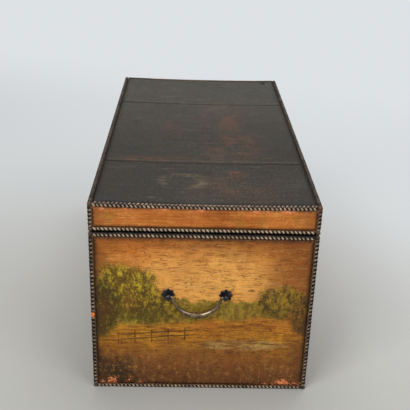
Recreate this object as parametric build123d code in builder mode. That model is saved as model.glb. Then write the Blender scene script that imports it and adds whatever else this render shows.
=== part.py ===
"""Leather covered travelling trunk, painted on its ends, with a shallow hinged lid.

Millimetres. +X runs along the trunk to the end with the painted panel, -Y is the front with the lock,
+Z is up, and the origin is the middle of the underside. Each wooden case is covered by flat leather
panels, and every edge is bound by a laced leather bead that wraps the corner of the wood.
"""
from build123d import *
import math
import os

os.makedirs("parts", exist_ok=True)

# Wooden case
case_length = 812.0
case_width = 392.0
base_height = 317.4
lid_height = 46.4
wall = 12.0
bottom_board = 10.0
top_board = 10.0
corner_rebate = 6.0

# Leather, lacing and lining
leather = 2.4
top_leather = 3.0
sole_leather = 3.6
turned_leather = 1.6
lace_radius = 4.0
lace_gap = 0.3
panel_gap = 0.8
lid_gap = 1.6
lining = 0.8
near_seam_x = 207.0
far_seam_x = -185.0

# Dust lip that closes the joint between base and lid
lip_thickness = 6.0
lip_below = 20.0
lip_above = 18.0
lip_step = 2.2
lip_lift = 2.0

# Carrying handles
handle_height = 204.0
handle_shift = -10.0
post_spacing = 103.0
post_standoff = 9.0
ball_radius = 5.2
post_neck_radius = 3.0
post_flange_radius = 6.0
post_flange = 1.4
rosette_radius = 12.5
rosette_thickness = 1.8
rosette_petals = 8
rosette_chamfer = 0.5
petal_radius = 2.2
shank_radius = 2.5
pivot_radius = 2.2
pivot_clearance = 0.06
pivot_reach = 2.0
pivot_end_gap = 0.5
grip_radius = 5.4
grip_drop = 37.6
grip_span = 86.0
elbow_drop = 2.4
grip_sections = 12
washer_radius = 6.0
washer_thickness = 1.0
nut_across = 8.0
nut_thickness = 4.0
shank_tail = 1.0
fit_clearance = 0.02

# Stop hinges on the back
hinge_x = 250.0
hinge_length = 60.0
leaf_thickness = 2.0
knuckle_radius = 3.5
hinge_pin_radius = 1.6
hinge_pin_clearance = 0.05
pin_head_radius = 2.6
pin_head = 1.2
knuckle_count = 5
knuckle_gap = 0.3
bead_clearance = 0.4
leaf_joggle = 3.0
stop_reach = 9.5
stop_thickness = 2.4
lid_opening = 100.0
stop_gap = 0.3
screw_radius = 1.6
screw_head_radius = 3.0
screw_head = 1.0
screw_length = 11.0
base_leaf_drop = 52.0
lid_leaf_rise = 38.0
base_screw_drops = (18.0, 42.0)
lid_screw_rises = (14.0, 30.0)
screw_inset = 9.0
lock_screw_inset = 4.0
lock_screw_shift = 3.0
lock_screw_radius = 1.3
lock_screw_head = 0.8
lock_screw_length = 12.0

# Box lock in the middle of the front
lock_width = 64.0
lock_depth = 44.0
lock_thickness = 12.0
lock_recess = 7.0
lock_plate_length = 80.0
lock_plate_width = 13.0
lock_plate = 2.0
lock_shell = 1.6
lock_clearance = 0.3
staple_spacing = 28.0
staple_width = 7.0
staple_thickness = 3.0
staple_reach = 24.0
staple_window = 4.4
staple_window_height = 6.0
staple_foot = 1.8
staple_play = 0.9
bolt_bar_height = 4.5
bolt_finger = 3.6
bolt_finger_height = 4.4
bolt_post = 4.0
bolt_play = 0.3
bolt_travel = 7.0
bolt_rest_gap = 1.0
keyhole_drop = 30.0
keyhole_radius = 2.4
keyhole_slot = 2.2
keyhole_slot_length = 8.0
escutcheon_radius = 11.0
escutcheon_height = 34.0
escutcheon_thickness = 1.4
escutcheon_pin_radius = 0.8
escutcheon_pin_length = 6.0
escutcheon_pin_head = 0.4
escutcheon_pin_spacing = 26.0

# Heights and faces worked out from the sizes above
half_x = case_length / 2
half_y = case_width / 2
base_low = sole_leather
base_top = base_low + base_height
lid_low = base_top + 2 * lace_radius + lid_gap
lid_top = lid_low + lid_height
inner_x = half_x - wall
inner_y = half_y - wall
floor_top = base_low + bottom_board
roof = lid_top - top_board
edge = lace_radius + lace_gap
leather_x = half_x + leather
leather_y = half_y + leather
lip_low = base_top - lip_below
lip_top = base_top + lip_above

# Where the moving and fitted pieces stand
hinge_y = half_y + lace_radius + bead_clearance + knuckle_radius
hinge_z = (base_top + lid_low) / 2
hinge_middles = {"right": hinge_x, "left": -hinge_x}
handle_x = leather_x + post_standoff
post_places = [handle_shift - post_spacing / 2, handle_shift + post_spacing / 2]
nut_x = inner_x - lining - washer_thickness - nut_thickness
lock_back = -inner_y + lock_thickness - lock_recess
lock_front = lock_back - lock_thickness
lock_middle = (lock_front + lock_back) / 2
lock_low = base_top - lock_depth
keyhole_z = base_top - keyhole_drop
staple_low = lid_low - lock_plate - staple_reach
window_low = staple_low + staple_foot
finger_low = window_low + (staple_window_height - bolt_finger_height) / 2
staple_places = [-staple_spacing / 2, staple_spacing / 2]
lock_screw_places = [lock_screw_inset - lock_plate_length / 2, lock_plate_length / 2 - lock_screw_inset]
lock_screw_y = lock_middle - lock_screw_shift
escutcheon_pin_places = [keyhole_z - escutcheon_pin_spacing / 2, keyhole_z + escutcheon_pin_spacing / 2]
screw_columns = [-hinge_length / 2 + screw_inset, 0.0, hinge_length / 2 - screw_inset]
base_screw_heights = [base_top - drop for drop in base_screw_drops]
lid_screw_heights = [lid_low + rise for rise in lid_screw_rises]


def save(piece, label):
    """Names a finished piece and writes it to its own file."""
    piece.label = label
    export_step(piece, f"parts/{label}.step")


def slab(x, y, z, mode=Mode.ADD):
    """A rectangular block between pairs of limits, added to or cut from the part being built."""
    with Locations(((x[0] + x[1]) / 2, (y[0] + y[1]) / 2, (z[0] + z[1]) / 2)):
        Box(x[1] - x[0], y[1] - y[0], z[1] - z[0], mode=mode)


def rod(start, direction, length, radius, mode=Mode.ADD):
    """A round bar or a drilled hole that runs from a point along a direction."""
    with Locations(Plane(origin=start, z_dir=direction)):
        Cylinder(radius, length, align=(Align.CENTER, Align.CENTER, Align.MIN), mode=mode)


def both(limit):
    """The pair of limits that lies evenly about zero."""
    return (-limit, limit)


def drill_hinge_screws(heights):
    """Cuts the screw holes of both hinges through whatever of the back is being built."""
    for middle in hinge_middles.values():
        for column in screw_columns:
            for z in heights:
                start = (middle + column, leather_y + leaf_thickness, z)
                rod(start, (0, -1, 0), screw_length, screw_radius + fit_clearance, Mode.SUBTRACT)


def drill_handle_posts(side):
    """Cuts the two holes for the handle posts through one end of the trunk."""
    for y in post_places:
        start = (side * nut_x, y, handle_height)
        rod(start, (side, 0, 0), leather_x - nut_x, shank_radius + fit_clearance, Mode.SUBTRACT)


def cut_keyhole():
    """Cuts the keyhole, a round eye over a slot, through the front as far as the inside of the lock."""
    face = lock_front + 2 * lock_shell
    with BuildSketch(Plane(origin=(0, face, keyhole_z), x_dir=(1, 0, 0), z_dir=(0, -1, 0))) as keyhole:
        Circle(keyhole_radius)
        with Locations((0, -keyhole_slot_length / 2)):
            Rectangle(keyhole_slot, keyhole_slot_length)
    depth = face + leather_y + 2 * escutcheon_thickness
    extrude(keyhole.sketch, amount=depth, dir=(0, -1, 0), mode=Mode.SUBTRACT)


def escutcheon_pin_rods(radius, mode=Mode.ADD):
    """The two pins of the keyhole plate, or the holes they are driven into."""
    for z in escutcheon_pin_places:
        start = (0, -leather_y - escutcheon_thickness, z)
        rod(start, (0, 1, 0), escutcheon_thickness + escutcheon_pin_length, radius, mode)


def lock_screw_rods(seat, up, radius, mode=Mode.ADD):
    """The two screws that run up or down from the face of a lock plate, or their holes."""
    for x in lock_screw_places:
        rod((x, lock_screw_y, seat), (0, 0, up), lock_screw_length, radius, mode)


def cut_lock_pocket():
    """Cuts the pocket for the lock out of the inside of the front."""
    slab(
        both(lock_width / 2 + fit_clearance),
        (lock_front - fit_clearance, lock_back + wall),
        (lock_low - fit_clearance, base_top + lip_above),
        Mode.SUBTRACT,
    )


# Base case: four walls with rebated corners, on a bottom board nailed under them
with BuildPart() as base_bottom_board:
    slab(both(half_x), both(half_y), (base_low, floor_top))
save(base_bottom_board.part, "base_bottom_board")

for name, face in (("front", -1), ("back", 1)):
    with BuildPart() as board:
        slab(both(half_x), sorted((face * inner_y, face * half_y)), (floor_top, base_top))
        for side in (-1, 1):
            slab(
                sorted((side * inner_x, side * (half_x + wall))),
                sorted((face * (inner_y - wall), face * (half_y - corner_rebate))),
                (base_low, base_top),
                Mode.SUBTRACT,
            )
        if name == "front":
            cut_lock_pocket()
            cut_keyhole()
            escutcheon_pin_rods(escutcheon_pin_radius + fit_clearance, Mode.SUBTRACT)
            lock_screw_rods(base_top + lock_plate, -1, lock_screw_radius + fit_clearance, Mode.SUBTRACT)
        else:
            drill_hinge_screws(base_screw_heights)
    save(board.part, f"base_{name}_board")

for name, side in (("right", 1), ("left", -1)):
    with BuildPart() as board:
        slab(
            sorted((side * inner_x, side * half_x)),
            both(half_y - corner_rebate),
            (floor_top, base_top),
        )
        drill_handle_posts(side)
    save(board.part, f"base_end_board_{name}")

# Lid case: a shallow frame of rails with the same corners, under a top board
with BuildPart() as lid_top_board:
    slab(both(half_x), both(half_y), (roof, lid_top))
save(lid_top_board.part, "lid_top_board")

for name, face in (("front", -1), ("back", 1)):
    with BuildPart() as rail:
        slab(both(half_x), sorted((face * inner_y, face * half_y)), (lid_low, roof))
        for side in (-1, 1):
            slab(
                sorted((side * inner_x, side * (half_x + wall))),
                sorted((face * (inner_y - wall), face * (half_y - corner_rebate))),
                (lid_low, roof),
                Mode.SUBTRACT,
            )
        if name == "front":
            lock_screw_rods(lid_low - lock_plate, 1, lock_screw_radius + fit_clearance, Mode.SUBTRACT)
        else:
            drill_hinge_screws(lid_screw_heights)
    save(rail.part, f"lid_{name}_rail")

for name, side in (("right", 1), ("left", -1)):
    with BuildPart() as rail:
        slab(sorted((side * inner_x, side * half_x)), both(half_y - corner_rebate), (lid_low, roof))
    save(rail.part, f"lid_end_rail_{name}")

# Leather panels, which stop short of each edge to leave room for the lacing
with BuildPart() as base_bottom_leather:
    slab(both(half_x - edge), both(half_y - edge), (0, base_low))
save(base_bottom_leather.part, "base_bottom_leather")

for group, low, high in (("base", base_low, base_top), ("lid", lid_low, lid_top)):
    for name, face in (("front", -1), ("back", 1)):
        with BuildPart() as panel:
            slab(
                both(half_x - edge),
                sorted((face * half_y, face * leather_y)),
                (low + edge, high - edge),
            )
            if name == "back":
                drill_hinge_screws(base_screw_heights if group == "base" else lid_screw_heights)
            elif group == "base":
                cut_keyhole()
                escutcheon_pin_rods(escutcheon_pin_radius + fit_clearance, Mode.SUBTRACT)
        save(panel.part, f"{group}_{name}_leather")
    for name, side in (("right", 1), ("left", -1)):
        with BuildPart() as panel:
            slab(
                sorted((side * half_x, side * leather_x)),
                both(half_y - edge),
                (low + edge, high - edge),
            )
            if group == "base":
                drill_handle_posts(side)
        save(panel.part, f"{group}_end_leather_{name}")

top_panels = {
    "right": (near_seam_x + panel_gap / 2, half_x - edge),
    "middle": (far_seam_x + panel_gap / 2, near_seam_x - panel_gap / 2),
    "left": (edge - half_x, far_seam_x - panel_gap / 2),
}
for name, span in top_panels.items():
    with BuildPart() as panel:
        slab(span, both(half_y - edge), (lid_top, lid_top + top_leather))
        fillet(panel.faces().sort_by(Axis.Z)[-1].edges().filter_by(Axis.Y), top_leather / 3)
    save(panel.part, f"lid_top_leather_{name}")

# Leather turned in over both rims, cut away where the lock and its plate sit
for group, seat, outward in (("base", base_top, 1), ("lid", lid_low, -1)):
    with BuildPart() as rim:
        thickness = sorted((seat, seat + outward * turned_leather))
        slab(both(half_x - edge), both(half_y - edge), thickness)
        slab(both(inner_x), both(inner_y), thickness, Mode.SUBTRACT)
        slab(
            both(lock_plate_length / 2 + lock_clearance),
            (lock_middle - lock_plate_width / 2 - lock_clearance, -inner_y + wall),
            thickness,
            Mode.SUBTRACT,
        )
    save(rim.part, f"{group}_rim_leather")


# Laced beads that wrap the corners of the wood
def lace_ring(height):
    """Round beads along the four edges of a case at one height, joined at the corners."""
    for face in (-1, 1):
        rod((-half_x, face * half_y, height), (1, 0, 0), case_length, lace_radius)
    for side in (-1, 1):
        rod((side * half_x, -half_y, height), (0, 1, 0), case_width, lace_radius)
    with GridLocations(case_length, case_width, 2, 2):
        with Locations((0, 0, height)):
            Sphere(lace_radius)


rings = {
    "base_foot_lacing": (base_low, base_low, base_top),
    "base_rim_lacing": (base_top, base_low, base_top),
    "lid_bottom_lacing": (lid_low, lid_low, lid_top),
    "lid_top_lacing": (lid_top, lid_low, lid_top),
}
for name, (height, low, high) in rings.items():
    with BuildPart() as ring:
        lace_ring(height)
        slab(both(half_x), both(half_y), (low, high), Mode.SUBTRACT)
        # The ring at the foot is worn flat where the trunk stands on it
        slab(both(half_x + lace_radius), both(half_y + lace_radius), (-lace_radius, 0), Mode.SUBTRACT)
    save(ring.part, name)

for group, low, high in (("base", base_low, base_top), ("lid", lid_low, lid_top)):
    with BuildPart() as corners:
        for side in (-1, 1):
            for face in (-1, 1):
                start = (side * half_x, face * half_y, low + lace_radius)
                rod(start, (0, 0, 1), high - low - 2 * lace_radius, lace_radius)
        slab(both(half_x), both(half_y), (low, high), Mode.SUBTRACT)
    save(corners.part, f"{group}_corner_lacing")

# Dust lip: thin boards inside the base walls that rise into the lid, open at the lock
for name, face in (("front", -1), ("back", 1)):
    with BuildPart() as lip:
        inside = inner_y - lip_thickness
        slab(both(inner_x), sorted((face * inside, face * inner_y)), (lip_low, base_top + lip_lift))
        slab(
            both(inner_x - lip_step),
            sorted((face * inside, face * (inner_y - lip_step))),
            (base_top, lip_top),
        )
        if name == "front":
            slab(
                both(lock_plate_length / 2 + lock_clearance),
                (-inner_y - wall, -inside + wall),
                (lip_low, lip_top),
                Mode.SUBTRACT,
            )
    save(lip.part, f"dust_lip_{name}")

for name, side in (("right", 1), ("left", -1)):
    with BuildPart() as lip:
        inside = inner_x - lip_thickness
        across = inner_y - lip_thickness
        slab(sorted((side * inside, side * inner_x)), both(across), (lip_low, base_top + lip_lift))
        slab(sorted((side * inside, side * (inner_x - lip_step))), both(across), (base_top, lip_top))
    save(lip.part, f"dust_lip_{name}")

# Paper linings
with BuildPart() as base_lining:
    slab(both(inner_x), both(inner_y), (floor_top, lip_low))
    slab(both(inner_x - lining), both(inner_y - lining), (floor_top + lining, lip_low), Mode.SUBTRACT)
    cut_lock_pocket()
    for side in (-1, 1):
        drill_handle_posts(side)
save(base_lining.part, "base_lining")

with BuildPart() as lid_lining:
    slab(both(inner_x), both(inner_y), (lid_low, roof))
    slab(both(inner_x - lining), both(inner_y - lining), (lid_low, roof - lining), Mode.SUBTRACT)
save(lid_lining.part, "lid_lining")

# Carrying handles: flower rosettes, ball posts bolted through the ends, and swinging bails
for name, side in (("right", 1), ("left", -1)):
    with BuildPart() as rosettes:
        for y in post_places:
            plane = Plane(origin=(side * leather_x, y, handle_height), x_dir=(0, 1, 0), z_dir=(side, 0, 0))
            with BuildSketch(plane):
                Circle(rosette_radius - petal_radius)
                with PolarLocations(rosette_radius - petal_radius, rosette_petals):
                    Circle(petal_radius)
                Circle(shank_radius + fit_clearance, mode=Mode.SUBTRACT)
            extrude(amount=rosette_thickness)
        flowers = rosettes.faces().filter_by(Axis.X).group_by(Axis.X)[-1 if side > 0 else 0]
        chamfer([rim for flower in flowers for rim in flower.outer_wire().edges()], rosette_chamfer)
    save(rosettes.part, f"handle_rosettes_{name}")

    # Each post is turned in one piece, from the ball down to the shank that passes through the end
    neck_end = post_standoff - math.sqrt(ball_radius**2 - post_neck_radius**2)
    flange_top = rosette_thickness + post_flange
    tip = post_standoff + ball_radius
    shank_end = nut_x - leather_x - shank_tail
    with BuildPart() as posts:
        for y, inward in zip(post_places, (1, -1)):
            seat = (side * leather_x, y, handle_height)
            with BuildSketch(Plane(origin=seat, x_dir=(side, 0, 0), z_dir=(0, -side, 0))):
                with BuildLine():
                    Polyline(
                        (tip, 0),
                        (shank_end, 0),
                        (shank_end, shank_radius),
                        (rosette_thickness, shank_radius),
                        (rosette_thickness, post_flange_radius),
                        (flange_top, post_flange_radius - post_flange / 2),
                        (flange_top, post_neck_radius),
                        (neck_end, post_neck_radius),
                    )
                    ThreePointArc((neck_end, post_neck_radius), (post_standoff, ball_radius), (tip, 0))
                make_face()
            revolve(axis=Axis(seat, (side, 0, 0)))
            start = (side * handle_x, y - inward * (pivot_reach + pivot_end_gap), handle_height)
            rod(start, (0, inward, 0), 3 * ball_radius, pivot_radius + pivot_clearance, Mode.SUBTRACT)
    save(posts.part, f"handle_posts_{name}")

with BuildPart() as washers:
    for side in (-1, 1):
        for y in post_places:
            start = (side * (inner_x - lining), y, handle_height)
            rod(start, (-side, 0, 0), washer_thickness, washer_radius)
            rod(start, (-side, 0, 0), washer_thickness, shank_radius + fit_clearance, Mode.SUBTRACT)
save(washers.part, "handle_washers")

with BuildPart() as nuts:
    for side in (-1, 1):
        for y in post_places:
            start = (side * (inner_x - lining - washer_thickness), y, handle_height)
            with BuildSketch(Plane(origin=start, z_dir=(-side, 0, 0))):
                RegularPolygon(nut_across / 2, 6, major_radius=False)
                Circle(shank_radius + fit_clearance, mode=Mode.SUBTRACT)
            extrude(amount=nut_thickness)
save(nuts.part, "handle_nuts")

# The bail is an arc with a swelled grip, whose elbows turn out into pivots in the ball posts
grip_half = grip_span / 2
arc_drop = grip_drop - elbow_drop
arc_radius = (grip_half**2 + arc_drop**2) / (2 * arc_drop)
arc_tilt = math.asin((arc_radius - arc_drop) / arc_radius)
elbow_radius = elbow_drop / (1 - math.sin(arc_tilt))
elbow_end = grip_half + elbow_radius * math.cos(arc_tilt)
elbow_turn = 90 - math.degrees(arc_tilt)
pivot_end = post_spacing / 2 + pivot_reach

for name, side in (("right", 1), ("left", -1)):
    hanging = Plane(origin=(side * handle_x, handle_shift, handle_height), x_dir=(0, 1, 0), z_dir=(1, 0, 0))
    with BuildPart() as bail:
        with BuildLine(hanging) as grip:
            ThreePointArc((-grip_half, -elbow_drop), (0, -grip_drop), (grip_half, -elbow_drop))
        for i in range(grip_sections + 1):
            share = i / grip_sections
            swell = (grip_radius - pivot_radius) * math.sin(math.pi * share) ** 1.5
            with BuildSketch(Plane(origin=grip.line @ share, x_dir=(1, 0, 0), z_dir=grip.line % share)):
                Circle(pivot_radius + swell)
        loft()
        for turn, outermost in ((-1, 0), (1, -1)):
            middle = (side * handle_x, handle_shift + turn * elbow_end, handle_height - elbow_radius)
            grip_face = bail.faces().filter_by(GeomType.PLANE).sort_by(Axis.Y)[outermost]
            revolve(grip_face, axis=Axis(middle, (-turn, 0, 0)), revolution_arc=elbow_turn)
            elbow_face = bail.faces().filter_by(GeomType.PLANE).sort_by(Axis.Y)[outermost]
            extrude(elbow_face, amount=pivot_end - elbow_end)
    save(bail.part, f"handle_bail_{name}")

# Stop hinges: joggled leaves that clear the lacing, five knuckles on a headed pin
knuckle_length = hinge_length / knuckle_count


def leaf(middle, up, far_edge, own):
    """One hinge leaf. It runs up or down from the pin to far_edge, with its own share of knuckles."""
    raised = half_y + lace_radius + bead_clearance
    near = hinge_z + up * (lid_low - hinge_z + edge)
    bend = near + up * leaf_joggle
    section = Plane(origin=(middle - hinge_length / 2, 0, 0), x_dir=(0, 1, 0), z_dir=(1, 0, 0))
    with BuildSketch(section) as outline:
        with BuildLine():
            Polyline(
                (raised, hinge_z),
                (raised, near),
                (leather_y, bend),
                (leather_y, far_edge),
                (leather_y + leaf_thickness, far_edge),
                (leather_y + leaf_thickness, bend),
                (raised + leaf_thickness, near),
                (raised + leaf_thickness, hinge_z),
                close=True,
            )
        make_face()
        with Locations((hinge_y, hinge_z)):
            Circle(knuckle_radius)
    extrude(outline.sketch, amount=hinge_length)
    for i in range(knuckle_count):
        if i % 2 != own:
            start = middle - hinge_length / 2 + i * knuckle_length
            far_height = hinge_z + up * (knuckle_radius + bead_clearance)
            slab(
                (start - knuckle_gap / 2, start + knuckle_length + knuckle_gap / 2),
                (half_y, hinge_y + 2 * knuckle_radius),
                sorted((hinge_z - up * 2 * knuckle_radius, far_height)),
                Mode.SUBTRACT,
            )


def hinge_bore(middle):
    """Cuts the bore for the pin along a hinge."""
    start = (middle - hinge_length / 2, hinge_y, hinge_z)
    rod(start, (1, 0, 0), hinge_length, hinge_pin_radius + hinge_pin_clearance, Mode.SUBTRACT)


stop_length = knuckle_length - knuckle_gap
for name, middle in hinge_middles.items():
    with BuildPart() as base_leaf:
        leaf(middle, -1, base_top - base_leaf_drop, 0)
        # A tongue on the middle knuckle stops the lid, whose leaf comes down on it when fully open
        opened = Plane(
            origin=(middle - stop_length / 2, hinge_y, hinge_z),
            x_dir=(0, math.sin(math.radians(lid_opening)), math.cos(math.radians(lid_opening))),
            z_dir=(1, 0, 0),
        )
        with BuildSketch(opened):
            with Locations((0, knuckle_radius - leaf_thickness - stop_gap)):
                Rectangle(stop_reach, stop_thickness, align=(Align.MIN, Align.MAX))
        extrude(amount=stop_length)
        hinge_bore(middle)
        drill_hinge_screws(base_screw_heights)
    save(base_leaf.part, f"hinge_base_leaf_{name}")

    with BuildPart() as lid_leaf:
        leaf(middle, 1, lid_low + lid_leaf_rise, 1)
        hinge_bore(middle)
        drill_hinge_screws(lid_screw_heights)
    save(lid_leaf.part, f"hinge_lid_leaf_{name}")

    with BuildPart() as pin:
        start = (middle - hinge_length / 2 - knuckle_gap, hinge_y, hinge_z)
        rod(start, (1, 0, 0), hinge_length + 2 * knuckle_gap, hinge_pin_radius)
        for side in (-1, 1):
            start = (middle + side * (hinge_length / 2 + knuckle_gap), hinge_y, hinge_z)
            rod(start, (side, 0, 0), pin_head, pin_head_radius)
        ends = pin.faces().filter_by(Axis.X).sort_by(Axis.X)
        fillet(ends[0].edges() + ends[-1].edges(), pin_head * 0.8)
    save(pin.part, f"hinge_pin_{name}")

for group, heights in (("base", base_screw_heights), ("lid", lid_screw_heights)):
    with BuildPart() as screws:
        for middle in hinge_middles.values():
            for column in screw_columns:
                for z in heights:
                    start = (middle + column, leather_y + leaf_thickness, z)
                    rod(start, (0, -1, 0), screw_length, screw_radius)
                    rod(start, (0, 1, 0), screw_head, screw_head_radius)
        heads = screws.faces().filter_by(Axis.Y).group_by(Axis.Y)[-1]
        fillet(heads.edges(), screw_head * 0.8)
    save(screws.part, f"hinge_{group}_screws")

# Box lock let into the front wall, and the link plate whose staples its bolt locks
with BuildPart() as lock_case:
    slab(both(lock_width / 2), (lock_front, lock_back), (lock_low, base_top))
    slab(
        both(lock_width / 2 - lock_shell),
        (lock_front + lock_shell, lock_back - lock_shell),
        (lock_low + lock_shell, base_top),
        Mode.SUBTRACT,
    )
    slab(
        both(lock_plate_length / 2),
        (lock_middle - lock_plate_width / 2, lock_middle + lock_plate_width / 2),
        (base_top, base_top + lock_plate),
    )
    for x in staple_places:
        slab(
            (x - staple_thickness / 2 - staple_play, x + staple_thickness / 2 + staple_play),
            (lock_middle - staple_width / 2 - staple_play, lock_middle + staple_width / 2 + staple_play),
            (base_top - lock_shell, base_top + lock_plate),
            Mode.SUBTRACT,
        )
    cut_keyhole()
    lock_screw_rods(base_top + lock_plate, -1, lock_screw_radius + fit_clearance, Mode.SUBTRACT)
save(lock_case.part, "lock_case")

with BuildPart() as lock_bolt:
    # A bar with two upright posts, each with a finger that slides through a staple's window
    finger_length = bolt_post + bolt_travel
    first = staple_places[0] - staple_thickness / 2 - bolt_rest_gap - finger_length
    last = staple_places[1] - staple_thickness / 2 - bolt_rest_gap
    bar_top = staple_low - bolt_rest_gap
    half_bar = lock_thickness / 2 - lock_shell - bolt_play
    bar_width = (lock_middle - half_bar, lock_middle + half_bar)
    slab((first, last), bar_width, (bar_top - bolt_bar_height, bar_top))
    for x in staple_places:
        tip = x - staple_thickness / 2 - bolt_rest_gap
        width = (lock_middle - bolt_finger / 2, lock_middle + bolt_finger / 2)
        finger = (finger_low, finger_low + bolt_finger_height)
        slab((tip - finger_length, tip - bolt_travel), width, (bar_top, finger[1]))
        slab((tip - finger_length, tip), width, finger)
save(lock_bolt.part, "lock_bolt")

with BuildPart() as link_plate:
    slab(
        both(lock_plate_length / 2),
        (lock_middle - lock_plate_width / 2, lock_middle + lock_plate_width / 2),
        (lid_low - lock_plate, lid_low),
    )
    for x in staple_places:
        thick = (x - staple_thickness / 2, x + staple_thickness / 2)
        width = (lock_middle - staple_width / 2, lock_middle + staple_width / 2)
        slab(thick, width, (staple_low, lid_low - lock_plate))
        slab(
            thick,
            (lock_middle - staple_window / 2, lock_middle + staple_window / 2),
            (window_low, window_low + staple_window_height),
            Mode.SUBTRACT,
        )
    lock_screw_rods(lid_low - lock_plate, 1, lock_screw_radius + fit_clearance, Mode.SUBTRACT)
save(link_plate.part, "lock_link_plate")

for name, seat, up in (("lock", base_top + lock_plate, -1), ("link", lid_low - lock_plate, 1)):
    with BuildPart() as screws:
        lock_screw_rods(seat, up, lock_screw_radius)
        for x in lock_screw_places:
            rod((x, lock_screw_y, seat), (0, 0, -up), lock_screw_head, 2 * lock_screw_radius)
    save(screws.part, f"{name}_screws")

with BuildPart() as escutcheon:
    face_plane = Plane(origin=(0, -leather_y, keyhole_z), x_dir=(1, 0, 0), z_dir=(0, -1, 0))
    with BuildSketch(face_plane):
        Ellipse(escutcheon_radius, escutcheon_height / 2)
    extrude(amount=escutcheon_thickness)
    cut_keyhole()
    escutcheon_pin_rods(escutcheon_pin_radius + fit_clearance, Mode.SUBTRACT)
save(escutcheon.part, "keyhole_escutcheon")

with BuildPart() as escutcheon_pins:
    escutcheon_pin_rods(escutcheon_pin_radius)
    for z in escutcheon_pin_places:
        start = (0, -leather_y - escutcheon_thickness, z)
        rod(start, (0, -1, 0), escutcheon_pin_head, 2 * escutcheon_pin_radius)
save(escutcheon_pins.part, "escutcheon_pins")
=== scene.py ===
"""Looks of the leather trunk: laced edges, painted and worn leather, aged metal, and the studio."""
import math

import bpy
import numpy as np
from mathutils import Matrix, Vector, noise


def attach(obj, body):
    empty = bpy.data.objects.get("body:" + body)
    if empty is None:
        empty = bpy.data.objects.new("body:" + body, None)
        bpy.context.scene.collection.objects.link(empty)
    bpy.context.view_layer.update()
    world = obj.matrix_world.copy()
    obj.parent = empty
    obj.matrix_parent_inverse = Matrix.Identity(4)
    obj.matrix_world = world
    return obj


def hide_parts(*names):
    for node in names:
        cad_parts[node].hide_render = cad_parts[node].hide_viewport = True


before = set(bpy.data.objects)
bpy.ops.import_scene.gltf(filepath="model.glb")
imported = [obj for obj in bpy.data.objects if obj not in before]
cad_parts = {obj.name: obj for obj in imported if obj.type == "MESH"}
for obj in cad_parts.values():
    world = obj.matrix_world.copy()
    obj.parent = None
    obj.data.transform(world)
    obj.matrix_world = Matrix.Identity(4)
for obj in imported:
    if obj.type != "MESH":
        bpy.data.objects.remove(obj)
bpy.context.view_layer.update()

# Main faces of the trunk in metres, as in the CAD
HALF_X, HALF_Y = 0.406, 0.196
BASE_LOW, BASE_TOP = 0.0036, 0.321
LID_LOW, LID_TOP = 0.3306, 0.377
SHELLS = (("base", BASE_LOW, BASE_TOP), ("lid", LID_LOW, LID_TOP))
X, Y, Z = np.eye(3)

# Thickness of the boards: those of the sides, and those of the bottom and top
WALL, DECK = 0.012, 0.010

# Panels end EDGE inside the corners, and their painted borders start PANEL_HALF from the middle
EDGE = 0.0043
PANEL_HALF = {"x": 0.402, "y": 0.192}
SEAMS = (-0.185, 0.207)

# How far the lid has sunk, and a bright chip in the lacing of one corner
SAG = 0.0028
CHIP = (0.4098, -0.1972, 0.1592)


def smooth(x, low, high):
    """0 below low, 1 above high, and a smooth turn between."""
    t = np.clip((np.asarray(x, float) - low) / (high - low), 0, 1)
    return t * t * (3 - 2 * t)


def sag(y):
    """How far the middle of the lid has sunk at a distance y from the middle of its width."""
    return SAG * (1 - np.clip(np.abs(y) / HALF_Y, 0, 1) ** 2)


def ripple(points, scale, seed):
    """Smooth noise at each point."""
    return np.array([noise.noise(Vector(p) * scale + Vector((seed, 2 * seed, -seed))) for p in points])


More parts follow.
